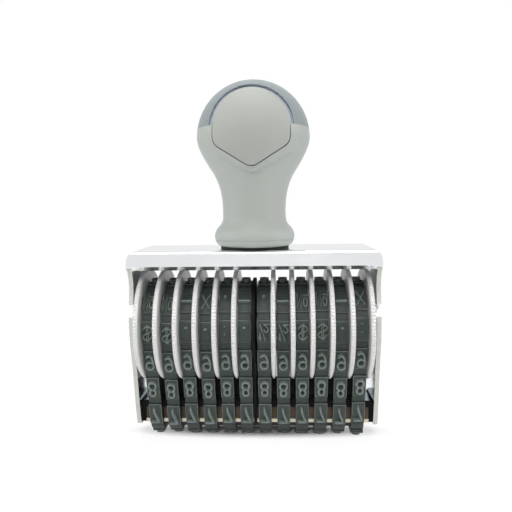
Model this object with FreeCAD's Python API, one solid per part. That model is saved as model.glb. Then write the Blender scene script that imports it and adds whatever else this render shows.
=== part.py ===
import FreeCAD, Part
import math
import os

# Numbering band stamp. X runs along the wheel axle, -Y is the front, Z is up.
# The origin is on the desk, under the middle of the printing faces.
# All lengths are in millimetres and all angles in degrees.

os.makedirs("parts", exist_ok=True)

# Wheels and axle
band_count = 12
band_pitch = 4.8
axle_height = 30.1
axle_radius = 1.5
bore_play = 0.05
wheel_radius = 14.75
wheel_rim_depth = 1.6
wheel_recess = 0.3
wheel_edge_radius = 0.3
disc_thickness = 1.1
wheel_gap = 0.15
drum_radius = 9.4
drum_wall = 1.2
drum_web = 0.95
boss_wall = 1.65

# Rubber bands
drum_play = 0.3
band_side_play = 0.2
band_thickness = 0.8
band_slope_deg = 13.0
band_corner_radius = 2.2
pad_rise = 0.6
pad_length = 5.8
pad_sink_share = 0.68
type_rise = 0.9
type_length = 4.1
type_width = 2.35
pad_lift_degs = (0.0, 40.4, 90.0)
pad_run_shares = (0.219, 0.537, 0.857)
phase_step = 0.7
band_phase_shares = {1: 0.3, 2: 1.0, 4: 0.6, 8: 0.25, 10: -0.35, 11: 0.25, 12: -0.9}

# Divider between the two halves of the wheel row, with a fork over the bridge
divider_rim_drop = 0.1
divider_left_play = 0.15
divider_right_play = 0.45
fork_play = 0.1

# Washers and clips on the axle
washer_thickness = 0.7
washer_rim = 2.1
washer_play = 0.15
clip_thickness = 0.6
clip_rim = 1.6
clip_groove_depth = 0.35
clip_mouth_share = 0.83
axle_end = 0.6

# Frame bent from one sheet
sheet = 1.1
plate_gap = 4.15
plate_half_depth = 9.6
skirt_flare = 2.0
skirt_drop = 3.6
skirt_bend_radius = 1.4
hem_turn = 1.0
corner_radius = 1.9
cheek_foot_height = 4.1
cheek_half_depth = 10.4
cheek_corner_radius = 1.2
cheek_edge_shares = [(1.05, 0.99), (0.91, 0.936), (0.865, 0.877), (0.94, 0.783),
                     (1.0, 0.684), (0.97, 0.545), (0.83, 0.367), (0.72, 0.178), (0.57, 0.0)]
slot_slope_deg = 27.0
slot_play = 0.02

# Bridge under the wheels
cushion_height = 1.7
cushion_overhang = 0.15
lip_thickness = 1.0
bar_height = 3.5
bar_setback = 0.55
strap_thickness = 1.8
strap_play = 0.17
strap_leg_thickness = 0.8
strap_end_radius = 0.9
web_thickness = 0.8
web_play = 0.35
rivet_radius = 1.0
rivet_head_rim = 0.8
rivet_head_height = 0.8
rivet_crown_share = 0.75
rivet_grip = 4.0

# Knob
ball_radius = 14.5
seam_rise = 2.1
knob_wall = 2.2
knob_boss_wall = 3.2
cap_rim_depth = 3.0
cap_rim_thickness = 1.4
cap_rim_play = 0.1
neck_shares = [(0.60, -1.903), (0.665, -1.872), (0.703, -1.815), (0.718, -1.74), (0.706, -1.66),
               (0.664, -1.585), (0.61, -1.522), (0.574, -1.45), (0.562, -1.35), (0.562, -1.24),
               (0.579, -1.03), (0.624, -0.83), (0.70, -0.65), (0.803, -0.483), (0.903, -0.303),
               (0.969, -0.15), (0.998, 0.0)]
gasket_thickness = 0.6
gasket_radius = 8.9
groove_rise = 1.7
groove_radius = 0.2

# Badge on the knob, its seat and its recess
badge_thickness = 1.1
badge_rise = 0.25
badge_radius = 9.2
badge_centre_rise = 1.7
badge_corner_radius = 3.0
badge_shoulder_drop = 0.7
badge_tip_drop = 4.6
badge_body_gap = 0.2
badge_cap_gap = 1.0
seat_drop = 0.1
seat_margin = 0.2
seat_draft_deg = 20.0

# Knob screw
screw_radius = 2.0
screw_play = 0.2
screw_reach = 14.0
screw_head_rim = 1.5
screw_head_height = 1.8
screw_slot_width = 0.9
screw_slot_depth_share = 0.45
screw_washer_rim = 1.1
screw_washer_thickness = 0.6

# A band fills the room between its disc and the next one
band_width = band_pitch - disc_thickness - 2 * band_side_play
disc_right = -band_width / 2 - band_side_play
disc_left = disc_right - disc_thickness
drum_end = disc_left + band_pitch - wheel_gap
band_inner_radius = drum_radius + drum_play
bore_radius = axle_radius + bore_play

# Stack of the bridge, from the desk upward
pad_top = band_thickness + pad_rise
type_top = pad_top + type_rise
lip_low = type_top + cushion_height
bar_low = lip_low + lip_thickness
strap_low = bar_low + bar_height
strap_top = strap_low + strap_thickness
web_top = axle_height - wheel_radius - web_play

# Frame's faces
cheek_inner = (band_count - 1) / 2 * band_pitch - disc_left + washer_play + washer_thickness
frame_half_width = cheek_inner + sheet
plate_low = axle_height + wheel_radius + plate_gap
plate_top = plate_low + sheet
skirt_low = plate_top - skirt_drop
skirt_half_depth = plate_half_depth + skirt_flare
bar_half_length = cheek_inner - strap_leg_thickness
cushion_half_length = (band_count - 1) / 2 * band_pitch + band_width / 2 + cushion_overhang
rivet_height = (bar_low + strap_low) / 2
knob_low = plate_top + gasket_thickness
ball_centre = knob_low - neck_shares[0][1] * ball_radius
seam_height = ball_centre + seam_rise
slope = math.radians(band_slope_deg)


def save(name, shape):
    """Writes one piece to its STEP file."""
    shape.exportStep("parts/%s.step" % name)


def box(low, high):
    """A box between two corners."""
    size = [b - a for a, b in zip(low, high)]
    return Part.makeBox(*size, FreeCAD.Vector(*low))


def rod_x(radius, x0, x1, z):
    """A round bar along X in the middle plane."""
    return Part.makeCylinder(radius, x1 - x0, FreeCAD.Vector(x0, 0, z), FreeCAD.Vector(1, 0, 0))


def rod_z(radius, z0, z1):
    """A round bar along Z on the knob's axis."""
    return Part.makeCylinder(radius, z1 - z0, FreeCAD.Vector(0, 0, z0))


def side_point(y, z):
    """A point of a side view, in the plane X = 0."""
    return FreeCAD.Vector(0, y, z)


def spread_x(outline, x0, x1):
    """Extrudes a side view outline from x0 to x1."""
    face = Part.Face(outline)
    face.translate(FreeCAD.Vector(x0, 0, 0))
    return face.extrude(FreeCAD.Vector(x1 - x0, 0, 0))


def polygon_x(points, x0, x1):
    """Extrudes a side view polygon from x0 to x1."""
    corners = [side_point(*p) for p in points]
    return spread_x(Part.makePolygon(corners + corners[:1]), x0, x1)


def mirror_y(points):
    """The same points on the other side of the axle, in reverse order."""
    return [(-y, z) for y, z in reversed(points)]


def mirror_x(shape):
    """The same piece on the other side of the middle."""
    return shape.mirror(FreeCAD.Vector(0, 0, 0), FreeCAD.Vector(1, 0, 0))


def span_x(side, near, far):
    """The lower and upper X of a stretch on one side of the middle."""
    return sorted((side * near, side * far))


def round_edges(shape, chosen):
    """The circular edges of a shape whose middle passes a test."""
    return [e for e in shape.Edges if hasattr(e.Curve, "Radius") and chosen(e.CenterOfMass)]


def place_side(shape, index):
    """Moves a piece drawn for the left half at X = 0 to its place in the row, counted from 1."""
    if index > band_count // 2:
        shape = mirror_x(shape)
    shape = shape.copy()
    shape.translate(FreeCAD.Vector((index - (band_count + 1) / 2) * band_pitch, 0, 0))
    return shape


# Side view path of a band's inner face: over the drum, down both runs and round the cushion
tangent_y = -band_inner_radius * math.cos(slope)
tangent_z = axle_height - band_inner_radius * math.sin(slope)


def run_y(z):
    """Y of the front run's inner face at a height."""
    return tangent_y + (tangent_z - z) * math.tan(slope)


corner_length = band_corner_radius * math.tan((math.pi / 2 - slope) / 2)
bend_start = (run_y(type_top + corner_length * math.cos(slope)), type_top + corner_length * math.cos(slope))
bend_end = (run_y(type_top) + corner_length, type_top)
bend_angle = math.pi + (math.pi / 2 + slope) / 2
bend_middle = (bend_end[0] + band_corner_radius * math.cos(bend_angle),
               type_top + band_corner_radius + band_corner_radius * math.sin(bend_angle))
run_length = (tangent_z - bend_start[1]) / math.cos(slope)
strap_half_depth = -run_y(strap_low) - strap_play
bar_half_depth = -run_y(bar_low) - bar_setback


def band_path():
    """Closed side view line of a band's inner face."""
    front = side_point(tangent_y, tangent_z)
    top = side_point(0, axle_height + band_inner_radius)
    rear = side_point(-tangent_y, tangent_z)
    bend = [side_point(*p) for p in (bend_start, bend_middle, bend_end)]
    back = [side_point(*p) for p in mirror_y([bend_start, bend_middle, bend_end])]
    edges = [Part.Arc(front, top, rear).toShape(), Part.makeLine(rear, back[2]),
             Part.Arc(*reversed(back)).toShape(), Part.makeLine(back[0], bend[2]),
             Part.Arc(*reversed(bend)).toShape(), Part.makeLine(bend[0], front)]
    return Part.Wire(edges)


def pad_places(phase):
    """Foot point on the path and outward angle of each pad, for a band moved on by a phase."""
    places = [(phase, type_top, -math.pi / 2)]
    turn = phase / (band_inner_radius + type_top)
    for side in (-1, 1):
        for share in pad_run_shares:
            along = share * run_length - side * phase
            foot = (-side * (tangent_y + along * math.sin(slope)), tangent_z - along * math.cos(slope))
            places.append((*foot, math.pi + slope if side < 0 else -slope))
        for lift_deg in pad_lift_degs if side < 0 else pad_lift_degs[:-1]:
            lift = math.radians(lift_deg) + side * turn
            angle = math.pi - lift if side < 0 else lift
            foot = (band_inner_radius * math.cos(angle), axle_height + band_inner_radius * math.sin(angle))
            places.append((*foot, angle))
    return places


def standing_block(length, width, low, high):
    """A block on the path that points along +Y before it is turned."""
    return box((-width / 2, low, -length / 2), (width / 2, high, length / 2))


def band(phase):
    """A band with its pads and raised type blocks, drawn at X = 0."""
    path = band_path()
    ring = Part.Face([path.makeOffset2D(band_thickness), path])
    ring.translate(FreeCAD.Vector(-band_width / 2, 0, 0))
    sink = band_thickness * pad_sink_share
    blocks = []
    for y, z, angle in pad_places(phase):
        pad = standing_block(pad_length, band_width, band_thickness - sink, pad_top)
        raised = standing_block(type_length, type_width, pad_top - sink, type_top)
        block = pad.fuse(raised)
        block.rotate(FreeCAD.Vector(0, 0, 0), FreeCAD.Vector(1, 0, 0), math.degrees(angle))
        block.translate(FreeCAD.Vector(0, y, z))
        blocks.append(block)
    return ring.extrude(FreeCAD.Vector(band_width, 0, 0)).multiFuse(blocks).removeSplitter()


def wheel():
    """A thumbwheel with its drum on the right of its disc, drawn for the left half."""
    disc = rod_x(wheel_radius, disc_left, disc_right, axle_height)
    disc = disc.makeFillet(wheel_edge_radius, round_edges(disc, lambda middle: True))
    boss_radius = bore_radius + boss_wall
    recess = rod_x(wheel_radius - wheel_rim_depth, disc_left, disc_left + wheel_recess, axle_height)
    recess = recess.cut(rod_x(boss_radius, disc_left, disc_right, axle_height))
    drum = rod_x(drum_radius, disc_right, drum_end, axle_height)
    pocket = rod_x(drum_radius - drum_wall, disc_right + drum_web, drum_end, axle_height)
    pocket = pocket.cut(rod_x(boss_radius, disc_left, drum_end, axle_height))
    bore = rod_x(bore_radius, disc_left, drum_end, axle_height)
    return disc.cut(recess).fuse(drum).cut(pocket).cut(bore).removeSplitter()


def divider():
    """The thin disc between the two middle wheels, with a fork that stands over the bridge."""
    half_gap = band_pitch / 2 - drum_end
    x0 = divider_left_play - half_gap
    x1 = half_gap - divider_right_play
    disc = rod_x(band_inner_radius + type_top - divider_rim_drop, x0, x1, axle_height)
    reach = band_thickness / math.cos(slope)
    front = [(run_y(tangent_z) - reach, tangent_z), (run_y(lip_low) - reach, lip_low)]
    shape = disc.fuse(polygon_x(front + mirror_y(front), x0, x1))
    rooms = [(lip_low, bar_low, -run_y(bar_low)), (bar_low, strap_low, bar_half_depth),
             (strap_low, web_top, strap_half_depth)]
    for low, high, half_depth in rooms:
        half = half_depth + fork_play
        shape = shape.cut(box((x0, -half, low), (x1, half, high)))
    return shape.cut(rod_x(axle_radius, x0, x1, axle_height)).removeSplitter()


def cheek(x0, x1):
    """One cheek, with tapered edges, a rounded foot, the axle slot and the rivet's hole."""
    rise = skirt_low - cheek_foot_height
    front = [(-a * cheek_half_depth, cheek_foot_height + b * rise) for a, b in cheek_edge_shares]
    top = [(-plate_half_depth, skirt_low + sheet), (-plate_half_depth + sheet, plate_low)]
    front_edge = Part.BSplineCurve()
    front_edge.interpolate([side_point(*p) for p in front])
    rear_edge = Part.BSplineCurve()
    rear_edge.interpolate([side_point(*p) for p in mirror_y(front)])
    corners = [side_point(*p) for p in front[:1] + top + mirror_y(front[:1] + top)]
    foot = Part.makeLine(side_point(*front[-1]), side_point(*mirror_y(front)[0]))
    edges = [front_edge.toShape(), foot, rear_edge.toShape()]
    edges += [Part.makeLine(a, b) for a, b in zip(corners[:-1], corners[1:])]
    plate = spread_x(Part.Wire(Part.__sortEdges__(edges)), x0, x1)
    low = [e for e in plate.Edges if e.Length < 2 * sheet and e.CenterOfMass.z < cheek_foot_height + sheet]
    plate = plate.makeFillet(cheek_corner_radius, low)
    slot_radius = axle_radius + slot_play
    slot = box((x0, -2 * cheek_half_depth, -slot_radius), (x1, 0, slot_radius))
    slot.rotate(FreeCAD.Vector(0, 0, 0), FreeCAD.Vector(1, 0, 0), -slot_slope_deg)
    slot.translate(FreeCAD.Vector(0, 0, axle_height))
    slot = slot.fuse(rod_x(slot_radius, x0, x1, axle_height))
    return plate.cut(slot).cut(rod_x(rivet_radius, x0, x1, rivet_height))


def hood():
    """The frame's top plate with its two flared skirts, whose hems turn inward."""
    slant = math.atan2(skirt_flare, skirt_drop)
    inner_depth = plate_half_depth - sheet * math.tan(math.pi / 4 - slant / 2)
    turn_depth = inner_depth + (skirt_drop - sheet) * math.tan(slant)
    hem_depth = skirt_half_depth - hem_turn
    hem_low = skirt_low - hem_turn
    hem_side = sheet * math.sqrt(0.5)
    outside = [(-hem_depth, hem_low), (-skirt_half_depth, skirt_low), (-plate_half_depth, plate_top)]
    inside = [(hem_depth - hem_side, hem_low + hem_side), (turn_depth, skirt_low), (inner_depth, plate_low)]
    outline = outside + mirror_y(outside) + inside + mirror_y(inside)
    shell = polygon_x(outline, -frame_half_width, frame_half_width)
    high = plate_top - sheet / 2
    bends = [e for e in shell.Edges if abs(e.CenterOfMass.x) < sheet and e.CenterOfMass.z > high]
    return shell.makeFillet(skirt_bend_radius, bends)


def frame():
    """The frame in one piece, with rounded upper corners and a hole for the knob's screw."""
    shape = hood()
    for side in (-1, 1):
        shape = shape.fuse(cheek(*span_x(side, cheek_inner, frame_half_width)))
    reach = skirt_half_depth + sheet
    bound = box((-frame_half_width, -reach, 0), (frame_half_width, reach, plate_top))
    upper = [e for e in bound.Edges if e.CenterOfMass.z > plate_low and abs(e.CenterOfMass.x) > cheek_inner]
    shape = shape.common(bound.makeFillet(corner_radius, upper))
    return shape.cut(rod_z(screw_radius + screw_play, plate_low, plate_top)).removeSplitter()


def strap():
    """The black strap that lies over the bar, with a leg down each cheek."""
    shape = box((-cheek_inner, -strap_half_depth, strap_low), (cheek_inner, strap_half_depth, strap_top))
    middle = (strap_low + strap_top) / 2
    ends = [e for e in shape.Edges if e.CenterOfMass.z > middle and abs(e.CenterOfMass.x) > bar_half_length]
    ends = [e for e in ends if e.BoundBox.ZLength < strap_thickness / 2]
    shape = shape.makeFillet(strap_end_radius, ends)
    for side in (-1, 1):
        x0, x1 = span_x(side, bar_half_length, cheek_inner)
        leg = box((x0, -bar_half_depth, lip_low), (x1, bar_half_depth, strap_low))
        shape = shape.fuse(leg.cut(rod_x(rivet_radius, x0, x1, rivet_height)))
    return shape.removeSplitter()


def bridge_bar():
    """The bar between the strap's legs, with a blind hole in each end for its rivet."""
    shape = box((-bar_half_length, -bar_half_depth, bar_low), (bar_half_length, bar_half_depth, strap_low))
    for side in (-1, 1):
        x0, x1 = span_x(side, bar_half_length - rivet_grip, bar_half_length)
        shape = shape.cut(rod_x(rivet_radius, x0, x1, rivet_height))
    return shape


def bridge_web():
    """The upright plate along the middle of the strap, under the wheels."""
    low = (-cushion_half_length, -web_thickness / 2, strap_top)
    return box(low, (cushion_half_length, web_thickness / 2, web_top))


def under_bands(low, high, half_length):
    """A bar whose front and rear faces carry the bands' runs."""
    front = [(run_y(high), high), (run_y(low), low)]
    return polygon_x(front + mirror_y(front), -half_length, half_length)


def cushion():
    """The rubber cushion, with rounded lower corners that the bands run round."""
    whole = under_bands(type_top, strap_low, cushion_half_length)
    low = [e for e in whole.Edges if abs(e.CenterOfMass.x) < sheet and e.CenterOfMass.z < lip_low]
    whole = whole.makeFillet(band_corner_radius, low)
    corner = (cushion_half_length, -run_y(strap_low), lip_low)
    return whole.common(box((-cushion_half_length, run_y(strap_low), type_top), corner))


def rivet():
    """A round-headed rivet through the left cheek and the strap's leg into the bar."""
    shank = rod_x(rivet_radius, -frame_half_width, rivet_grip - bar_half_length, rivet_height)
    face = -frame_half_width - rivet_head_height
    head = rod_x(rivet_radius + rivet_head_rim, face, -frame_half_width, rivet_height)
    crown = round_edges(head, lambda middle: middle.x < face + rivet_head_height / 2)
    return head.makeFillet(rivet_head_height * rivet_crown_share, crown).fuse(shank).removeSplitter()


def axle():
    """The axle with a groove outside each cheek for its clip."""
    end = frame_half_width + clip_thickness + axle_end
    rod = rod_x(axle_radius, -end, end, axle_height)
    for side in (-1, 1):
        x0, x1 = span_x(side, frame_half_width, frame_half_width + clip_thickness)
        ring = rod_x(axle_radius, x0, x1, axle_height)
        rod = rod.cut(ring.cut(rod_x(axle_radius - clip_groove_depth, x0, x1, axle_height)))
    return rod.removeSplitter()


def axle_clip():
    """The open clip outside the left cheek."""
    x0 = -frame_half_width - clip_thickness
    x1 = -frame_half_width
    hole_radius = axle_radius - clip_groove_depth
    clip_radius = axle_radius + clip_rim
    ring = rod_x(clip_radius, x0, x1, axle_height).cut(rod_x(hole_radius, x0, x1, axle_height))
    half_mouth = clip_mouth_share * hole_radius
    return ring.cut(box((x0, -half_mouth, axle_height - clip_radius), (x1, half_mouth, axle_height)))


def end_washer():
    """The washer between the first wheel and the left cheek."""
    x0 = -cheek_inner
    x1 = washer_thickness - cheek_inner
    ring = rod_x(axle_radius + washer_rim, x0, x1, axle_height)
    return ring.cut(rod_x(axle_radius, x0, x1, axle_height))


def knob_solid(offset):
    """The knob as a solid of revolution, with its side line moved outward by an offset."""
    places = [FreeCAD.Vector(r * ball_radius, 0, ball_centre + h * ball_radius) for r, h in neck_shares]
    line = Part.BSplineCurve()
    line.interpolate(places)
    points = []
    steps = 3 * len(neck_shares)
    for step in range(steps + 1):
        at = line.FirstParameter + (line.LastParameter - line.FirstParameter) * step / steps
        along = line.tangent(at)[0]
        points.append(line.value(at) + FreeCAD.Vector(along.z, 0, -along.x) * offset)
    side = Part.BSplineCurve()
    side.approximate(Points=points)
    foot = FreeCAD.Vector(0, 0, side.StartPoint.z)
    radius = side.EndPoint.x
    crown = FreeCAD.Vector(0, 0, side.EndPoint.z + radius)
    shoulder = FreeCAD.Vector(radius * math.sqrt(0.5), 0, side.EndPoint.z + radius * math.sqrt(0.5))
    edges = [side.toShape(), Part.Arc(side.EndPoint, shoulder, crown).toShape(),
             Part.makeLine(crown, foot), Part.makeLine(foot, side.StartPoint)]
    return Part.Face(Part.Wire(edges)).revolve(FreeCAD.Vector(0, 0, 0), FreeCAD.Vector(0, 0, 1), 360)


def knob_radius(height):
    """The knob's outer radius at a height."""
    slab = box((0, -groove_radius, height), (2 * ball_radius, groove_radius, height + groove_radius))
    return knob_solid(0).common(slab).BoundBox.XMax


def ball(offset):
    """The knob's ball as a whole sphere, grown by an offset."""
    return Part.makeSphere(ball_radius + offset, FreeCAD.Vector(0, 0, ball_centre))


def shield_wire(grow, y):
    """The badge's outline at a depth, grown on all sides."""
    half = badge_radius - badge_corner_radius
    centre = ball_centre + badge_centre_rise
    shoulder = ball_centre - badge_shoulder_drop
    tip = ball_centre - badge_tip_drop
    lower = [(-half, centre), (-half, shoulder), (0, tip), (half, shoulder), (half, centre)]
    corners = [FreeCAD.Vector(x, y, z) for x, z in lower]
    arc = Part.Arc(corners[-1], FreeCAD.Vector(0, y, centre + half), corners[0])
    lines = [Part.makeLine(a, b) for a, b in zip(corners[:-1], corners[1:])]
    return Part.Wire([arc.toShape()] + lines).makeOffset2D(badge_corner_radius + grow)


def shield(grow):
    """Prism of the badge's outline along -Y, grown on all sides."""
    return Part.Face(shield_wire(grow, 0)).extrude(FreeCAD.Vector(0, -2 * ball_radius, 0))


def badge_recess(gap):
    """What is cut from the knob's body or cap to seat the badge, with a groove round it."""
    return shield(gap).cut(ball(badge_rise - badge_thickness))


def badge_seat():
    """The raised part of the body round the badge, with sloping sides."""
    spread = ball_radius / 2 * math.tan(math.radians(seat_draft_deg))
    front = shield_wire(seat_margin, -ball_radius)
    back = shield_wire(seat_margin + spread, -ball_radius / 2)
    return Part.makeLoft([front, back], True, True).common(ball(-seat_drop))


def knob_body():
    """The collar, the neck and the lower half of the ball, hollow round a boss for the screw."""
    wide = 2 * ball_radius
    room = box((-wide, -wide, ball_centre - ball_radius), (wide, wide, seam_height + wide))
    boss = rod_z(screw_radius + knob_boss_wall, knob_low, seam_height - cap_rim_depth - knob_wall)
    lower = box((-wide, -wide, knob_low), (wide, wide, seam_height))
    shape = knob_solid(0).fuse(badge_seat()).common(lower)
    shape = shape.cut(knob_solid(-knob_wall).common(room).cut(boss))
    groove_height = knob_low + groove_rise
    groove = Part.makeTorus(knob_radius(groove_height), groove_radius, FreeCAD.Vector(0, 0, groove_height))
    shape = shape.cut(groove).cut(badge_recess(badge_body_gap))
    return shape.cut(rod_z(screw_radius, knob_low, plate_top + screw_reach)).removeSplitter()


def knob_gasket():
    """The dark ring between the collar and the top plate."""
    ring = rod_z(gasket_radius, plate_top, knob_low)
    return ring.cut(rod_z(screw_radius, plate_top, knob_low))


def knob_cap():
    """The upper part of the ball, with a rim that fits inside the body."""
    wide = 2 * ball_radius
    shape = knob_solid(0).cut(knob_solid(-knob_wall))
    shape = shape.common(box((-wide, -wide, seam_height), (wide, wide, ball_centre + wide)))
    wall_radius = knob_radius(seam_height) - knob_wall
    rim_radius = wall_radius - cap_rim_play
    rim_low = seam_height - cap_rim_depth
    rim = rod_z(rim_radius, rim_low, seam_height).common(knob_solid(-knob_wall - cap_rim_play))
    rim = rim.fuse(rod_z(wall_radius + knob_wall / 2, seam_height, seam_height + knob_wall / 2))
    rim = rim.cut(rod_z(rim_radius - cap_rim_thickness, rim_low, seam_height + knob_wall))
    return shape.fuse(rim).cut(badge_recess(badge_cap_gap)).removeSplitter()


def knob_badge():
    """The bare shield plate at the front of the knob."""
    skin = ball(badge_rise).cut(ball(badge_rise - badge_thickness))
    return skin.common(shield(0))


def knob_screw():
    """The slotted screw that holds the knob from under the plate."""
    seat = plate_low - screw_washer_thickness
    low = seat - screw_head_height
    head_radius = screw_radius + screw_head_rim
    head = rod_z(head_radius, low, seat)
    rim = round_edges(head, lambda middle: middle.z < seat - screw_head_height / 2)
    head = head.makeFillet(screw_head_height / 2, rim)
    slot_top = low + screw_head_height * screw_slot_depth_share
    slot = box((-head_radius, -screw_slot_width / 2, low), (head_radius, screw_slot_width / 2, slot_top))
    return head.cut(slot).fuse(rod_z(screw_radius, seat, plate_top + screw_reach)).removeSplitter()


def screw_washer():
    """The washer under the knob screw's head."""
    low = plate_low - screw_washer_thickness
    ring = rod_z(screw_radius + screw_head_rim + screw_washer_rim, low, plate_low)
    return ring.cut(rod_z(screw_radius, low, plate_low))


save("frame", frame())
save("wheel_axle", axle())
save("axle_clip_left", axle_clip())
save("axle_clip_right", mirror_x(axle_clip()))
save("end_washer_left", end_washer())
save("end_washer_right", mirror_x(end_washer()))
save("centre_divider", divider())
save("tension_strap", strap())
save("bridge_bar", bridge_bar())
save("bridge_web", bridge_web())
save("bridge_lip", under_bands(lip_low, bar_low, bar_half_length))
save("print_cushion", cushion())
save("rivet_left", rivet())
save("rivet_right", mirror_x(rivet()))
save("knob_screw", knob_screw())
save("knob_washer", screw_washer())
save("knob_gasket", knob_gasket())
save("knob_body", knob_body())
save("knob_cap", knob_cap())
save("knob_badge", knob_badge())
for number in range(1, band_count + 1):
    phase = phase_step * band_phase_shares.get(number, 0)
    save("wheel_%02d" % number, place_side(wheel(), number))
    save("band_%02d" % number, place_side(band(phase), number))
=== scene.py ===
import math

import bmesh
import bpy
from mathutils import Matrix, Vector


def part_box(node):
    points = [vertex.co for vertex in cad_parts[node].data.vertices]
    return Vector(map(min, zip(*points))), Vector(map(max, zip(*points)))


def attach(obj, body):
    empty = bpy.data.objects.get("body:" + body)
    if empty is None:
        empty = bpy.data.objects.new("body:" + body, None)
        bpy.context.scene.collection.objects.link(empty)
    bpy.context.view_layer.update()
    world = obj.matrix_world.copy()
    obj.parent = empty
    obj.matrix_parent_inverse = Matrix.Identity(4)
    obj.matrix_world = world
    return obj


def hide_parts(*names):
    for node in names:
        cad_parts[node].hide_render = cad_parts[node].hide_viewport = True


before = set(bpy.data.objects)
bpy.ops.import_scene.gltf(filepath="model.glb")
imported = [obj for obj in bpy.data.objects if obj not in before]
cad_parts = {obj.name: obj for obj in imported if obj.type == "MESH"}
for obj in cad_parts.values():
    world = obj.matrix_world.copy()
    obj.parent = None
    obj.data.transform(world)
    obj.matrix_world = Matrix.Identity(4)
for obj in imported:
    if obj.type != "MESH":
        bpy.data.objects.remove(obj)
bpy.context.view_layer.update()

# Lengths are in metres. X runs along the wheel axle, -Y is the front, Z is up.
mm = 0.001
band_count = sum(name.startswith("band_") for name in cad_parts)
half_count = band_count // 2

# Camera, as fitted to the photograph
camera_place = Vector((6.586, -137.802, 62.153)) * mm
camera_ahead = Vector((-0.04557085, 0.99359361, -0.10341678))
camera_up = Vector((0.00875392, 0.10391755, 0.99454739))
camera_lens = 36.948
sensor_width = 36.0
camera_near = 10 * mm
camera_far = 20000 * mm

# Thumbwheels
band_side_play = 0.2 * mm
wheel_rim_depth = 1.6 * mm
wheel_recess = 0.3 * mm
wheel_edge = 0.25 * mm
wheel_chamfer = 0.15 * mm
knurl_depth = 0.2 * mm
knurl_teeth = 112
knurl_steps = 4
drum_wall = 1.2 * mm
drum_web = 0.95 * mm
bore_radius = 1.55 * mm
boss_radius = 3.2 * mm
drum_radius = 9.4 * mm
wheel_smooth_deg = 25

# Rubber bands
band_thickness = 0.8 * mm
band_corner_radius = 2.2 * mm
band_edge = 0.15 * mm
band_steps = 240
pad_rise = 0.6 * mm
pad_length = 5.8 * mm
pad_edge = 0.12 * mm
pad_foot_share = 0.5
pad_parts = 8
pad_run_shares = (0.219, 0.537, 0.857)
pad_lift_degs = (0.0, 40.4, 90.0)
phase_step = 0.7 * mm
band_phase_shares = {1: 0.3, 2: 1.0, 4: 0.6, 8: 0.25, 10: -0.35, 11: 0.25, 12: -0.9}
band_smooth_deg = 35

# Frame
skirt_drop = 3.6 * mm
cheek_margin = 0.3 * mm
cheek_facing_share = 0.5
cut_colour = (206, 209, 202)
cut_metallic = 0.3
cut_roughness = 0.5

# Strap and knob
strap_facing_share = 0.7
# The strap's faces that look up get a paler metal finish: a painted sheen where light falls on them.
strap_painted_sheen_colour = (150, 160, 165)
strap_painted_sheen_roughness = 0.2
recess_margin = 0.3 * mm
# The walls of the badge recess get a paler colour: painted light that lifts the shade in the narrow groove.
recess_painted_light_colour = (214, 220, 228)
recess_roughness = 0.5

# World's strength for the eye, in mirrors and as light
world_seen = 1.0
world_mirrored = 0.9
world_light = 0.16

# Floor: plain where the stamp stands, paler round it, and plain white far off
floor_half = 3000 * mm
floor_drop = 0.02 * mm
floor_plain_share = 0.86
floor_pale_share = 0.13
floor_glow = 0.9
contact_half_length = 30 * mm
contact_half_depth = 4.2 * mm
contact_fade_shares = (0.6, 1.3)
shadow_reach = 100 * mm
shadow_end = 300 * mm

# Lamps: place, width and power in watts
lamps = {
    "lamp_front": ((0, -480 * mm, 390 * mm), 140 * mm, 0.85),
    "lamp_left": ((-550 * mm, -150 * mm, 300 * mm), 400 * mm, 1.25),
    "lamp_right": ((550 * mm, -150 * mm, 300 * mm), 400 * mm, 1.25),
    "lamp_top": ((0, -50 * mm, 700 * mm), 500 * mm, 3.0),
}

# Raised figures
figure_half_width = 0.95 * mm
figure_half_height = 1.88 * mm
figure_stroke = 0.22 * mm
symbol_half_width = 1.22 * mm
symbol_stroke = 0.115 * mm
figure_flank = 0.08 * mm
figure_round = 0.06 * mm
stroke_parts = 6
stroke_end_degs = (30, 60, 90)
least_miter_share = 0.5

# Noise in the materials
noise_low_share = 0.3
noise_high_share = 0.7
patch_detail = 3.0
grain_detail = 4.0
roughness_share = 0.15
grain_depth_share = 0.25


def middle(node):
    """Centre of a node's box."""
    low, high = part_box(node)
    return (low + high) / 2


# Sizes read from the solids
axle_z = middle("wheel_axle").z
wheel_radius = (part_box("wheel_01")[1].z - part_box("wheel_01")[0].z) / 2
cushion_low, cushion_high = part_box("print_cushion")
lip_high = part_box("bridge_lip")[1]
type_top = cushion_low.z
pad_top = band_thickness + pad_rise
slope_tan = (lip_high.y - cushion_high.y) / (lip_high.z - cushion_high.z)
cheek_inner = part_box("tension_strap")[1].x
skirt_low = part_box("frame")[1].z - skirt_drop
ball_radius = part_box("knob_body")[1].x
ball_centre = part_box("knob_cap")[1].z - ball_radius
slope = math.atan(slope_tan)


def run_y(z):
    """Y of a band's front run, on its inner face."""
    return -(cushion_high.y + (z - cushion_high.z) * slope_tan)


drum_line = -run_y(axle_z) * math.cos(slope)
tangent_z = axle_z - drum_line * math.sin(slope)
corner_turn = math.pi / 2 - slope
corner_cut = band_corner_radius * math.tan(corner_turn / 2)
flat_half = -run_y(type_top) - corner_cut
corner_length = band_corner_radius * corner_turn
run_length = (tangent_z - type_top - corner_cut * math.cos(slope)) / math.cos(slope)
run_start = flat_half + corner_length
drum_start = run_start + run_length
half_loop = drum_start + drum_line * (math.pi / 2 + slope)


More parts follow.
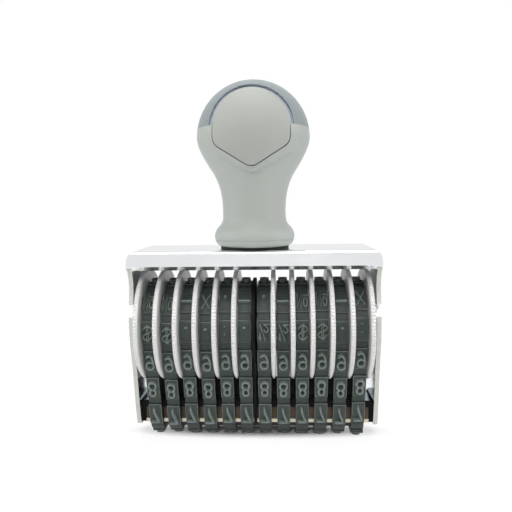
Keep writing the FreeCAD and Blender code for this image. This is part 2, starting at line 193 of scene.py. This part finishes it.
def front_path(t):
    """Point and outward direction, in Y and Z, at a distance up the front from the bottom's middle."""
    if t < flat_half:
        return (-t, type_top), (0, -1)
    if t < run_start:
        turn = (t - flat_half) / band_corner_radius
        out = (-math.sin(turn), -math.cos(turn))
        centre = (-flat_half, type_top + band_corner_radius)
        return (centre[0] + out[0] * band_corner_radius, centre[1] + out[1] * band_corner_radius), out
    out = (-math.cos(slope), -math.sin(slope))
    if t < drum_start:
        z = type_top + corner_cut * math.cos(slope) + (t - run_start) * math.cos(slope)
        return (run_y(z), z), out
    turn = (t - drum_start) / drum_line - slope
    out = (-math.cos(turn), math.sin(turn))
    return (out[0] * drum_line, axle_z + out[1] * drum_line), out


def loop_path(s):
    """Point and outward direction at a distance round the whole loop, the front first."""
    s = (s + half_loop) % (2 * half_loop) - half_loop
    (y, z), (out_y, out_z) = front_path(abs(s))
    side = 1 if s >= 0 else -1
    return (y * side, z), (out_y * side, out_z)


def new_object(name, bm, body, materials, smooth_deg):
    """Makes a piece from a mesh, with its faces shaded smooth up to an angle."""
    mesh = bpy.data.meshes.new(name)
    bmesh.ops.recalc_face_normals(bm, faces=bm.faces)
    bm.to_mesh(mesh)
    bm.free()
    mesh.shade_smooth()
    mesh.set_sharp_from_angle(angle=math.radians(smooth_deg))
    piece = bpy.data.objects.new(name, mesh)
    bpy.context.scene.collection.objects.link(piece)
    for material in materials:
        mesh.materials.append(material)
    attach(piece, body)
    return piece


def bridge_rings(bm, rings, closed, material=0):
    """Joins rings of vertices, each to the next, with four-sided faces."""
    count = len(rings[0])
    pairs = zip(rings, rings[1:] + rings[:1]) if closed else zip(rings[:-1], rings[1:])
    for one, two in pairs:
        for i in range(count):
            j = (i + 1) % count
            face = bm.faces.new((one[i], one[j], two[j], two[i]))
            face.material_index = material


# Materials
def node_material(name):
    """A new material with its nodes, its links, its shader and its object coordinates."""
    material = bpy.data.materials.new(name)
    material.use_nodes = True
    nodes = material.node_tree.nodes
    shader = nodes["Principled BSDF"]
    place = nodes.new("ShaderNodeTexCoord")
    return material, nodes, material.node_tree.links, shader, place.outputs["Object"]


def noise(nodes, links, place, size, detail, stretch=(1, 1, 1)):
    """Noise with features of about a given size, stretched along some axes."""
    mapping = nodes.new("ShaderNodeMapping")
    mapping.inputs["Scale"].default_value = [1 / (size * s) for s in stretch]
    texture = nodes.new("ShaderNodeTexNoise")
    texture.inputs["Scale"].default_value = 1.0
    texture.inputs["Detail"].default_value = detail
    links.new(place, mapping.inputs["Vector"])
    links.new(mapping.outputs["Vector"], texture.inputs["Vector"])
    return texture.outputs["Fac"]


def spread(nodes, links, value, low, high):
    """Maps a noise's middle range to two values."""
    ramp = nodes.new("ShaderNodeMapRange")
    ramp.inputs["From Min"].default_value = noise_low_share
    ramp.inputs["From Max"].default_value = noise_high_share
    ramp.inputs["To Min"].default_value = low
    ramp.inputs["To Max"].default_value = high
    links.new(value, ramp.inputs["Value"])
    return ramp.outputs["Result"]


def two_tone(nodes, links, value, dark, light):
    """A colour that runs from dark to light with a noise."""
    ramp = nodes.new("ShaderNodeValToRGB")
    ramp.color_ramp.elements[0].position = noise_low_share
    ramp.color_ramp.elements[0].color = (*dark, 1)
    ramp.color_ramp.elements[1].position = noise_high_share
    ramp.color_ramp.elements[1].color = (*light, 1)
    links.new(value, ramp.inputs["Fac"])
    return ramp.outputs["Color"]


def linear(colour):
    """Linear values of a colour given in display values from 0 to 255."""
    parts = [c / 255 for c in colour]
    return [p / 12.92 if p <= 0.04045 else ((p + 0.055) / 1.055) ** 2.4 for p in parts]


def surface(name, colour, uneven_share, patch, roughness, grain, bump,
            metallic=0, specular=0.5, stretch=(1, 1, 1)):
    """A material with patchy colour, uneven roughness and a fine grain."""
    material, nodes, links, shader, place = node_material(name)
    base = linear(colour)
    patches = noise(nodes, links, place, patch, patch_detail)
    dark = [c * (1 - uneven_share) for c in base]
    light = [min(1, c * (1 + uneven_share)) for c in base]
    links.new(two_tone(nodes, links, patches, dark, light), shader.inputs["Base Color"])
    fine = noise(nodes, links, place, grain, grain_detail, stretch)
    smoother = roughness * (1 - roughness_share)
    rougher = roughness * (1 + roughness_share)
    links.new(spread(nodes, links, fine, smoother, rougher), shader.inputs["Roughness"])
    relief = nodes.new("ShaderNodeBump")
    relief.inputs["Strength"].default_value = bump
    relief.inputs["Distance"].default_value = grain * grain_depth_share
    links.new(fine, relief.inputs["Height"])
    links.new(relief.outputs["Normal"], shader.inputs["Normal"])
    shader.inputs["Metallic"].default_value = metallic
    shader.inputs["Specular IOR Level"].default_value = specular
    return material


def at_least(nodes, links, value, limit):
    """One where a value is over a limit, zero elsewhere."""
    step = nodes.new("ShaderNodeMath")
    step.operation = "GREATER_THAN"
    step.inputs[1].default_value = limit
    links.new(value, step.inputs[0])
    return step.outputs[0]


def product(nodes, links, one, two):
    """Product of two values."""
    times = nodes.new("ShaderNodeMath")
    times.operation = "MULTIPLY"
    links.new(one, times.inputs[0])
    links.new(two, times.inputs[1])
    return times.outputs[0]


def size_of(nodes, links, value):
    """A value without its sign."""
    plain = nodes.new("ShaderNodeMath")
    plain.operation = "ABSOLUTE"
    links.new(value, plain.inputs[0])
    return plain.outputs[0]


def coordinates(material):
    """A material's nodes and links, with its coordinates."""
    nodes = material.node_tree.nodes
    return nodes, material.node_tree.links, nodes.new("ShaderNodeTexCoord").outputs


def parts_of(nodes, links, vector):
    """The three parts of a vector."""
    parts = nodes.new("ShaderNodeSeparateXYZ")
    links.new(vector, parts.inputs[0])
    return parts.outputs


def refinish(material, mask, colour, metallic, roughness):
    """Gives a material another finish where a mask is one."""
    nodes = material.node_tree.nodes
    links = material.node_tree.links
    shader = nodes["Principled BSDF"]
    for socket, value in (("Metallic", metallic), ("Roughness", roughness)):
        mix = nodes.new("ShaderNodeMix")
        mix.inputs["B"].default_value = value
        if shader.inputs[socket].is_linked:
            links.new(shader.inputs[socket].links[0].from_socket, mix.inputs["A"])
        else:
            mix.inputs["A"].default_value = shader.inputs[socket].default_value
        links.new(mask, mix.inputs["Factor"])
        links.new(mix.outputs["Result"], shader.inputs[socket])
    tint = nodes.new("ShaderNodeMix")
    tint.data_type = "RGBA"
    before, after = [socket for socket in tint.inputs if socket.type == "RGBA"]
    mixed = [socket for socket in tint.outputs if socket.type == "RGBA"][0]
    links.new(shader.inputs["Base Color"].links[0].from_socket, before)
    after.default_value = (*linear(colour), 1)
    links.new(mask, tint.inputs["Factor"])
    links.new(mixed, shader.inputs["Base Color"])


def dull_cut_edges(material):
    """Makes the cheeks' front and rear edges, below the skirt, duller than the plated faces."""
    nodes, links, place = coordinates(material)
    point = parts_of(nodes, links, place["Object"])
    facing = parts_of(nodes, links, place["Normal"])
    on_cheek = at_least(nodes, links, size_of(nodes, links, point["X"]), cheek_inner - cheek_margin)
    edgewise = at_least(nodes, links, size_of(nodes, links, facing["Y"]), cheek_facing_share)
    below = nodes.new("ShaderNodeMath")
    below.operation = "LESS_THAN"
    below.inputs[1].default_value = skirt_low - cheek_margin
    links.new(point["Z"], below.inputs[0])
    mask = product(nodes, links, product(nodes, links, on_cheek, edgewise), below.outputs[0])
    refinish(material, mask, cut_colour, cut_metallic, cut_roughness)


def paint_sheen_on_upper_faces(material):
    """Paints a sheen on the faces that look up: a paler metal finish there stands in for light falling on
    them.
    """
    nodes, links, place = coordinates(material)
    facing = parts_of(nodes, links, place["Normal"])
    upward = at_least(nodes, links, facing["Z"], strap_facing_share)
    refinish(material, upward, strap_painted_sheen_colour, 1, strap_painted_sheen_roughness)


def paint_light_into_recess(material):
    """Paints light on the walls under the ball's surface: they are made paler to lift the shade in the badge
    recess.
    """
    nodes, links, place = coordinates(material)
    distance = nodes.new("ShaderNodeVectorMath")
    distance.operation = "DISTANCE"
    distance.inputs[1].default_value = (0, 0, ball_centre)
    links.new(place["Object"], distance.inputs[0])
    inside = nodes.new("ShaderNodeMath")
    inside.operation = "LESS_THAN"
    inside.inputs[1].default_value = ball_radius - recess_margin
    links.new(distance.outputs["Value"], inside.inputs[0])
    refinish(material, inside.outputs[0], recess_painted_light_colour, 0, recess_roughness)


# Finishes, with colours in display values
finishes = {
    "plated_sheet": dict(
        colour=(234, 236, 238), uneven_share=0.02, patch=8 * mm, roughness=0.13, grain=0.5 * mm, bump=0.02,
        metallic=1, stretch=(12, 1, 1)),
    "turned_steel": dict(
        colour=(188, 189, 190), uneven_share=0.05, patch=2 * mm, roughness=0.3, grain=0.2 * mm, bump=0.1,
        metallic=1),
    "black_plate": dict(
        colour=(8, 8, 10), uneven_share=0.2, patch=3 * mm, roughness=0.5, grain=0.2 * mm, bump=0.05,
        specular=0.15),
    "bronze_bar": dict(
        colour=(86, 74, 60), uneven_share=0.15, patch=3 * mm, roughness=0.42, grain=0.3 * mm, bump=0.1,
        metallic=0.6, stretch=(10, 1, 1)),
    "web_brown": dict(
        colour=(44, 39, 34), uneven_share=0.2, patch=3 * mm, roughness=0.6, grain=0.3 * mm, bump=0.1,
        specular=0.25),
    # Pale cream plated lip under the bronze bar; its paleness is partly the plating and partly a painted
    # highlight along the bar's rounded lower edge.
    "satin_strip_painted_highlight": dict(
        colour=(214, 208, 188), uneven_share=0.05, patch=3 * mm, roughness=0.35, grain=0.3 * mm, bump=0.05,
        metallic=0.7, stretch=(10, 1, 1)),
    "dark_plastic": dict(
        colour=(10, 10, 11), uneven_share=0.1, patch=3 * mm, roughness=0.6, grain=0.2 * mm, bump=0.1,
        specular=0.15),
    "cushion_rubber": dict(
        colour=(28, 29, 35), uneven_share=0.15, patch=3 * mm, roughness=0.7, grain=0.25 * mm, bump=0.2),
    # Black for the thin ring under the knob's collar: painted shade, standing in for the shade under the
    # collar and its reflection in the plate.
    "gasket_black": dict(
        colour=(10, 11, 11), uneven_share=0.15, patch=3 * mm, roughness=0.5, grain=0.2 * mm, bump=0.1,
        specular=0.2),
    "grey_plastic": dict(
        colour=(179, 184, 179), uneven_share=0.012, patch=9 * mm, roughness=0.42, grain=0.12 * mm, bump=0.04,
        specular=0.35),
    "blue_grey_plastic": dict(
        colour=(141, 149, 151), uneven_share=0.015, patch=9 * mm, roughness=0.38, grain=0.12 * mm, bump=0.04,
        specular=0.35),
    "badge_plastic": dict(
        colour=(176, 179, 174), uneven_share=0.012, patch=9 * mm, roughness=0.55, grain=0.12 * mm, bump=0.05,
        specular=0.2),
    "white_plastic": dict(
        colour=(228, 228, 226), uneven_share=0.015, patch=6 * mm, roughness=0.34, grain=0.15 * mm, bump=0.05),
    "band_rubber": dict(
        colour=(66, 74, 71), uneven_share=0.12, patch=1.6 * mm, roughness=0.52, grain=0.15 * mm, bump=0.2,
        specular=0.35),
    # Paler rubber for the raised figures; also laid on the pads' bevelled top edges as a painted edge
    # highlight.
    "type_rubber_and_edge_highlight": dict(
        colour=(122, 133, 128), uneven_share=0.12, patch=0.9 * mm, roughness=0.45, grain=0.12 * mm, bump=0.2),
}
for name, values in finishes.items():
    finishes[name] = surface(name, **values)
dull_cut_edges(finishes["plated_sheet"])
# Painted sheen on the strap's upper faces.
paint_sheen_on_upper_faces(finishes["black_plate"])
# Painted light in the knob's badge recess, on the cap and on the badge.
paint_light_into_recess(finishes["blue_grey_plastic"])
paint_light_into_recess(finishes["badge_plastic"])

node_finishes = {
    "frame": "plated_sheet", "wheel_axle": "turned_steel", "axle_clip_left": "turned_steel",
    "axle_clip_right": "turned_steel", "end_washer_left": "turned_steel", "end_washer_right": "turned_steel",
    "centre_divider": "dark_plastic", "tension_strap": "black_plate", "bridge_bar": "bronze_bar",
    "bridge_web": "web_brown", "bridge_lip": "satin_strip_painted_highlight", "print_cushion": "cushion_rubber",
    "rivet_left": "turned_steel", "rivet_right": "turned_steel", "knob_screw": "turned_steel",
    "knob_washer": "turned_steel", "knob_gasket": "gasket_black", "knob_body": "grey_plastic",
    "knob_cap": "blue_grey_plastic", "knob_badge": "badge_plastic",
}
for node, finish in node_finishes.items():
    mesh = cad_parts[node].data
    mesh.materials.clear()
    mesh.materials.append(finishes[finish])


# Thumbwheels
def wheel_profile(side, disc_out, disc_in, drum_end):
    """Half section of a wheel as X, radius and whether the knurl cuts the point."""
    inner_rim = wheel_radius - wheel_rim_depth
    wall_radius = drum_radius - drum_wall
    web_end = disc_in + side * drum_web
    floor = disc_out + side * wheel_recess
    edge = side * wheel_edge
    chamfer = side * wheel_chamfer
    return [
        (disc_out, bore_radius, False),
        (disc_out, boss_radius, False),
        (floor, boss_radius + wheel_chamfer, False),
        (floor, inner_rim - wheel_chamfer, False),
        (disc_out, inner_rim, False),
        (disc_out, wheel_radius - wheel_edge - wheel_chamfer, False),
        (disc_out + chamfer, wheel_radius - wheel_edge, False),
        (disc_out + edge, wheel_radius, True),
        (disc_in - edge, wheel_radius, True),
        (disc_in - chamfer, wheel_radius - wheel_edge, False),
        (disc_in, wheel_radius - wheel_edge - wheel_chamfer, False),
        (disc_in, drum_radius, False),
        (drum_end - chamfer, drum_radius, False),
        (drum_end, drum_radius - wheel_chamfer, False),
        (drum_end, wall_radius, False),
        (web_end, wall_radius, False),
        (web_end, boss_radius, False),
        (drum_end, boss_radius, False),
        (drum_end, bore_radius, False),
    ]


def wheel(number):
    """A white thumbwheel with a knurled rim."""
    node = "wheel_%02d" % number
    low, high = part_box(node)
    band_low, band_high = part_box("band_%02d" % number)
    side = 1 if number <= half_count else -1
    disc_out, drum_end = (low.x, high.x) if side > 0 else (high.x, low.x)
    disc_in = (band_low.x if side > 0 else band_high.x) - side * band_side_play
    bm = bmesh.new()
    rings = []
    steps = knurl_teeth * knurl_steps
    for step in range(steps):
        angle = 2 * math.pi * step / steps
        cut = knurl_depth * (1 - math.cos(2 * math.pi * step / knurl_steps)) / 2
        ring = []
        for x, radius, knurled in wheel_profile(side, disc_out, disc_in, drum_end):
            r = radius - cut if knurled else radius
            ring.append(bm.verts.new((x, r * math.cos(angle), axle_z + r * math.sin(angle))))
        rings.append(ring)
    bridge_rings(bm, rings, True)
    body = "thumbwheel_%02d" % number
    piece = new_object(body + "_moulding", bm, body, [finishes["white_plastic"]], wheel_smooth_deg)
    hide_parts(node)


# Figures, drawn upright as shares of their half width and half height
# A stroke is a smooth loop, a smooth curve or a line of straight parts
ring_shares = [(0, 1), (0.8, 0.66), (1, 0), (0.8, -0.66), (0, -1), (-0.8, -0.66), (-1, 0), (-0.8, 0.66)]
bowl_shares = [(0, 0.08), (0.72, -0.1), (0.95, -0.47), (0.68, -0.88), (0, -1), (-0.68, -0.88), (-0.95, -0.47),
               (-0.72, -0.1)]
crown_shares = [(0, 1), (0.6, 0.86), (0.78, 0.54), (0.55, 0.2), (0, 0.08), (-0.55, 0.2), (-0.78, 0.54),
                (-0.6, 0.86)]
tail_shares = [(-0.95, -0.45), (-0.88, 0.2), (-0.5, 0.78), (0.15, 1), (0.8, 0.78)]
figure_shares = {
    "0": [("loop", ring_shares)],
    "1": [("line", [(-0.55, 0.55), (0.1, 1), (0.1, -1)])],
    "2": [("curve", [(-0.9, 0.5), (-0.6, 0.9), (0, 1), (0.7, 0.85), (0.92, 0.45), (0.6, -0.08), (-0.2, -0.6),
                     (-0.92, -1)]),
          ("line", [(-0.92, -1), (0.95, -1)])],
    "3": [("curve", [(-0.85, 0.7), (-0.4, 0.97), (0.3, 0.97), (0.82, 0.62), (0.65, 0.2), (0, 0.05)]),
          ("curve", [(0, 0.05), (0.75, -0.12), (0.98, -0.5), (0.62, -0.92), (-0.1, -1), (-0.75, -0.86),
                     (-0.98, -0.5)])],
    "4": [("line", [(0.4, -1), (0.4, 1), (-0.98, -0.45), (0.98, -0.45)])],
    "5": [("line", [(0.85, 1), (-0.72, 1), (-0.82, 0.05)]),
          ("curve", [(-0.82, 0.05), (-0.1, 0.28), (0.7, 0.1), (0.98, -0.36), (0.65, -0.86), (-0.05, -1),
                     (-0.92, -0.7)])],
    "6": [("loop", bowl_shares), ("curve", tail_shares)],
    "7": [("line", [(-1, 1.08), (1, 1.08)]),
          ("curve", [(1, 1.08), (0.35, 0.25), (-0.1, -0.5), (-0.2, -1.04)])],
    "8": [("loop", crown_shares), ("loop", bowl_shares)],
    "9": [("loop", [(-u, -v) for u, v in bowl_shares]), ("curve", [(-u, -v) for u, v in tail_shares])],
    "numero": [("line", [(-1, -1), (-1, 1), (-0.15, -1), (-0.15, 1)]),
               ("loop", [(0.62 + 0.36 * u, 0.35 + 0.62 * v) for u, v in ring_shares]),
               ("line", [(0.22, -0.64), (1, -0.64)])],
    "dollar": [("curve", [(0.8, 0.5), (0.3, 0.8), (-0.4, 0.78), (-0.85, 0.45), (-0.5, 0.1), (0.45, -0.12),
                          (0.88, -0.45), (0.4, -0.8), (-0.35, -0.8), (-0.85, -0.5)]),
               ("line", [(-0.15, 1), (-0.15, -1)]),
               ("line", [(0.2, 1), (0.2, -1)])],
    "cross": [("line", [(-0.8, -0.95), (0.75, 0.95)]), ("line", [(-0.75, 0.95), (0.8, -0.95)])],
    "dash": [("line", [(-1, 0.1), (1, 0.1)])],
    "dot": [("line", [(-0.1, -0.6), (0.1, -0.6)])],
    "colon": [("line", [(-0.06, -0.75), (0.06, -0.75)]), ("line", [(-0.04, 0.25), (0.04, 0.25)])],
    "half": [("line", [(-1, 0.62), (-0.72, 0.95), (-0.72, 0.1)]),
             ("line", [(0.35, 1), (-0.75, -1)]),
             ("curve", [(0.1, -0.3), (0.45, -0.05), (0.9, -0.25), (0.75, -0.6), (0.1, -0.98)]),
             ("line", [(0.1, -0.98), (1, -0.98)])],
}
thick_figures = list("0123456789")
thick_symbols = ["dash", "dot"]

# Signs on the two uppermost pads at the front, from the first band to the last
upper_symbols = ["numero", "numero", "dash", "cross", "dot", "dash",
                 "dot", "dash", "numero", "numero", "dash", "cross"]
lower_symbols = ["dollar", "dollar", "dot", "dot", "colon", "dot",
                 "half", "half", "dollar", "dollar", "dot", "colon"]


def smooth_line(points, closed):
    """A smooth line through points."""
    count = len(points)
    line = []
    for i in range(count if closed else count - 1):
        before, start, end, after = [points[k % count if closed else min(max(k, 0), count - 1)]
                                     for k in (i - 1, i, i + 1, i + 2)]
        for part in range(stroke_parts):
            t = part / stroke_parts
            line.append(tuple(
                b + t * ((c - a) + t * ((2 * a - 5 * b + 4 * c - d) + t * (3 * b - a - 3 * c + d))) / 2
                for a, b, c, d in zip(before, start, end, after)))
    return line if closed else line + [points[-1]]


def stroke_section(width):
    """Half section of a raised stroke as offset and height."""
    foot = (width + figure_flank, pad_top - band_edge)
    return [foot, (width, type_top - figure_round), (width - figure_round, type_top)]


def raise_stroke(bm, place, line, closed, width):
    """Builds one raised stroke with sloping flanks and round ends."""
    half = stroke_section(width)
    section = half + [(-offset, height) for offset, height in reversed(half)]
    count = len(line)
    rings = []
    for i, (u, v) in enumerate(line):
        before = line[(i - 1) % count] if closed or i else line[0]
        after = line[(i + 1) % count] if closed or i < count - 1 else line[-1]
        along = Vector((after[0] - before[0], after[1] - before[1])).normalized()
        first = (Vector((u - before[0], v - before[1])) if before != (u, v) else along).normalized()
        miter = 1 / max(least_miter_share, along.dot(first))
        turns = [0]
        if not closed and i == 0:
            turns = [-math.radians(deg) for deg in reversed(stroke_end_degs)] + [0]
        if not closed and i == count - 1:
            turns = [0] + [math.radians(deg) for deg in stroke_end_degs]
        for turn in turns:
            ring = []
            for offset, height in section:
                reach = abs(offset) * math.sin(turn)
                aside = offset * math.cos(turn) * miter
                ring.append(bm.verts.new(place(u + along.x * reach - along.y * aside,
                                               v + along.y * reach + along.x * aside, height)))
            rings.append(ring)
    pairs = zip(rings, rings[1:] + rings[:1]) if closed else zip(rings[:-1], rings[1:])
    for one, two in pairs:
        for a, b, c, d in zip(one[:-1], one[1:], two[1:], two[:-1]):
            face = bm.faces.new((a, b, c, d))
            face.material_index = 1


def raise_figure(bm, place, name):
    """Builds all the strokes of one figure."""
    width = figure_stroke if name in thick_figures + thick_symbols else symbol_stroke
    half_width = figure_half_width if name in thick_figures else symbol_half_width
    for kind, shares in figure_shares[name]:
        closed = kind == "loop"
        points = [(u * half_width, v * figure_half_height) for u, v in shares]
        line = points if kind == "line" else smooth_line(points, closed)
        raise_stroke(bm, place, line, closed, width)


def pad_block(bm, place, half_width):
    """Builds a pad with softened edges that follows its band; its bevelled top edges carry the paler type
    rubber as a painted highlight.
    """
    half_length = pad_length / 2
    levels = [(0, band_thickness * pad_foot_share), (0, pad_top - pad_edge),
              (pad_edge / 3, pad_top - pad_edge / 3), (pad_edge, pad_top)]
    rings = []
    for inset, height in levels:
        u = half_width - inset
        v = half_length - inset
        steps = [v * (2 * k / pad_parts - 1) for k in range(pad_parts + 1)]
        ring = [bm.verts.new(place(u, w, height)) for w in steps]
        ring += [bm.verts.new(place(-u, w, height)) for w in reversed(steps)]
        rings.append(ring)
    bridge_rings(bm, rings[:2], False)
    # The bevel faces round the pad's top take the paler type rubber: a painted highlight along the pad edges.
    bridge_rings(bm, rings[1:], False, 1)
    top = rings[-1]
    last = len(top) - 1
    for k in range(pad_parts):
        bm.faces.new((top[k], top[k + 1], top[last - k - 1], top[last - k]))


def band_layout(number):
    """Distance round the loop, on the drum or not, and figure of each pad of a band."""
    phase = phase_step * band_phase_shares.get(number, 0)
    straight = [drum_start - share * run_length for share in reversed(pad_run_shares)]
    curve = [drum_start + drum_line * (slope + math.radians(lift)) for lift in pad_lift_degs]
    front = ["7", "8", "9", lower_symbols[number - 1], upper_symbols[number - 1], "0"]
    rear = ["5", "4", "3", "2", "1"]
    places = straight + curve
    pads = [(0, "6")] + list(zip(places, front)) + [(-s, figure) for s, figure in zip(places, rear)]
    layout = []
    for s, figure in pads:
        curved = abs(s) >= drum_start
        shift = phase * drum_line / (drum_line + type_top) if curved else phase
        layout.append((s - shift, curved, figure))
    return layout


def pad_placer(x, s, curved):
    """Gives the place of a point of a pad from its offset across, its offset along and its height."""
    (y, z), (out_y, out_z) = loop_path(s)

    def flat(u, v, height):
        return (x + u, y - out_z * v + out_y * height, z + out_y * v + out_z * height)

    def round_drum(u, v, height):
        (py, pz), (oy, oz) = loop_path(s - v * drum_line / (drum_line + pad_top))
        return (x + u, py + oy * height, pz + oz * height)

    return round_drum if curved else flat


def band(number):
    """A rubber band with its pads and raised figures."""
    node = "band_%02d" % number
    low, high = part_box(node)
    x = (low.x + high.x) / 2
    half_width = (high.x - low.x) / 2
    bm = bmesh.new()
    edge = band_edge
    section = [(half_width, edge), (half_width, band_thickness - edge), (half_width - edge, band_thickness),
               (edge - half_width, band_thickness), (-half_width, band_thickness - edge), (-half_width, edge),
               (edge - half_width, 0), (half_width - edge, 0)]
    rings = []
    for step in range(band_steps):
        (y, z), (out_y, out_z) = loop_path(2 * half_loop * step / band_steps)
        rings.append([bm.verts.new((x + u, y + out_y * h, z + out_z * h)) for u, h in section])
    bridge_rings(bm, rings, True)
    for s, curved, figure in band_layout(number):
        place = pad_placer(x, s, curved)
        pad_block(bm, place, half_width)
        raise_figure(bm, place, figure)
    # The second finish serves the raised figures and the painted highlight on the pad edges.
    materials = [finishes["band_rubber"], finishes["type_rubber_and_edge_highlight"]]
    piece = new_object("rubber_band_%02d" % number, bm, "stamp", materials, band_smooth_deg)
    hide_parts(node)


for number in range(1, band_count + 1):
    wheel(number)
    band(number)


# Floor, light and camera
def by_ray(nodes, links, kinds, seen, unseen):
    """Shows one shader to some kinds of ray and another to the rest."""
    rays = nodes.new("ShaderNodeLightPath")
    chosen = rays.outputs[kinds[0]]
    for kind in kinds[1:]:
        either = nodes.new("ShaderNodeMath")
        either.operation = "MAXIMUM"
        links.new(chosen, either.inputs[0])
        links.new(rays.outputs[kind], either.inputs[1])
        chosen = either.outputs[0]
    mix = nodes.new("ShaderNodeMixShader")
    links.new(chosen, mix.inputs["Fac"])
    links.new(unseen, mix.inputs[1])
    links.new(seen, mix.inputs[2])
    return mix.outputs[0]


def shader_fade(nodes, links, place, start, end, near, far):
    """Fades from one shader to another with the length of a vector."""
    distance = nodes.new("ShaderNodeVectorMath")
    distance.operation = "LENGTH"
    links.new(place, distance.inputs[0])
    fade = nodes.new("ShaderNodeMapRange")
    fade.inputs["From Min"].default_value = start
    fade.inputs["From Max"].default_value = end
    links.new(distance.outputs["Value"], fade.inputs["Value"])
    mix = nodes.new("ShaderNodeMixShader")
    links.new(fade.outputs["Result"], mix.inputs["Fac"])
    links.new(near, mix.inputs[1])
    links.new(far, mix.inputs[2])
    return mix.outputs[0]


def make_floor():
    """A plain pale floor that shows white where it is lit and keeps the shadow."""
    mesh = bpy.data.meshes.new("floor")
    corners = [(x * floor_half, y * floor_half, 0) for x, y in ((-1, -1), (1, -1), (1, 1), (-1, 1))]
    mesh.from_pydata(corners, [], [(0, 1, 2, 3)])
    floor = bpy.data.objects.new("floor", mesh)
    floor.location.z = -floor_drop
    bpy.context.scene.collection.objects.link(floor)
    material = bpy.data.materials.new("floor_white")
    material.use_nodes = True
    nodes = material.node_tree.nodes
    links = material.node_tree.links
    nodes.clear()
    plain = nodes.new("ShaderNodeBsdfDiffuse")
    plain.inputs["Color"].default_value = (*[floor_plain_share] * 3, 1)
    shaded = nodes.new("ShaderNodeBsdfDiffuse")
    shaded.inputs["Color"].default_value = (*[floor_pale_share] * 3, 1)
    glow = nodes.new("ShaderNodeEmission")
    glow.inputs["Strength"].default_value = floor_glow
    pale = nodes.new("ShaderNodeAddShader")
    links.new(shaded.outputs[0], pale.inputs[0])
    links.new(glow.outputs[0], pale.inputs[1])
    white = nodes.new("ShaderNodeEmission")
    place = nodes.new("ShaderNodeTexCoord")
    squeeze = nodes.new("ShaderNodeMapping")
    squeeze.inputs["Scale"].default_value = (1 / contact_half_length, 1 / contact_half_depth, 0)
    links.new(place.outputs["Object"], squeeze.inputs["Vector"])
    near = shader_fade(nodes, links, squeeze.outputs["Vector"], *contact_fade_shares,
                       plain.outputs[0], pale.outputs[0])
    whole = shader_fade(nodes, links, place.outputs["Object"], shadow_reach, shadow_end,
                        near, white.outputs[0])
    output = nodes.new("ShaderNodeOutputMaterial")
    kinds = ["Is Camera Ray", "Is Glossy Ray", "Is Transmission Ray"]
    links.new(by_ray(nodes, links, kinds, whole, plain.outputs[0]), output.inputs["Surface"])
    mesh.materials.append(material)


def make_world():
    """White to the eye, a little darker in mirrors and dim as light."""
    world = bpy.data.worlds.new("studio")
    bpy.context.scene.world = world
    world.use_nodes = True
    nodes = world.node_tree.nodes
    links = world.node_tree.links
    nodes.clear()
    shades = []
    for strength in (world_seen, world_mirrored, world_light):
        shade = nodes.new("ShaderNodeBackground")
        shade.inputs["Color"].default_value = (1, 1, 1, 1)
        shade.inputs["Strength"].default_value = strength
        shades.append(shade.outputs[0])
    seen, mirrored, light = shades
    unseen = by_ray(nodes, links, ["Is Glossy Ray"], mirrored, light)
    output = nodes.new("ShaderNodeOutputWorld")
    kinds = ["Is Camera Ray", "Is Transmission Ray"]
    links.new(by_ray(nodes, links, kinds, seen, unseen), output.inputs["Surface"])


def make_lamp(name, place, size, power):
    """A large soft lamp that faces the object's middle."""
    data = bpy.data.lights.new(name, "AREA")
    data.shape = "DISK"
    data.size = size
    data.energy = power
    lamp = bpy.data.objects.new(name, data)
    lamp.location = place
    target = Vector((0, 0, axle_z))
    lamp.rotation_euler = (target - Vector(place)).to_track_quat("-Z", "Y").to_euler()
    bpy.context.scene.collection.objects.link(lamp)


def make_camera():
    """The camera of the photograph."""
    data = bpy.data.cameras.new("camera")
    data.lens = camera_lens
    data.sensor_width = sensor_width
    data.clip_start = camera_near
    data.clip_end = camera_far
    camera = bpy.data.objects.new("camera", data)
    right = camera_ahead.cross(camera_up).normalized()
    up = right.cross(camera_ahead)
    turn = Matrix((right, up, -camera_ahead)).transposed().to_4x4()
    camera.matrix_world = Matrix.Translation(camera_place) @ turn
    bpy.context.scene.collection.objects.link(camera)
    bpy.context.scene.camera = camera


make_floor()
make_world()
for name, (place, size, power) in lamps.items():
    make_lamp(name, place, size, power)
make_camera()
bpy.context.scene.view_settings.view_transform = "Standard"
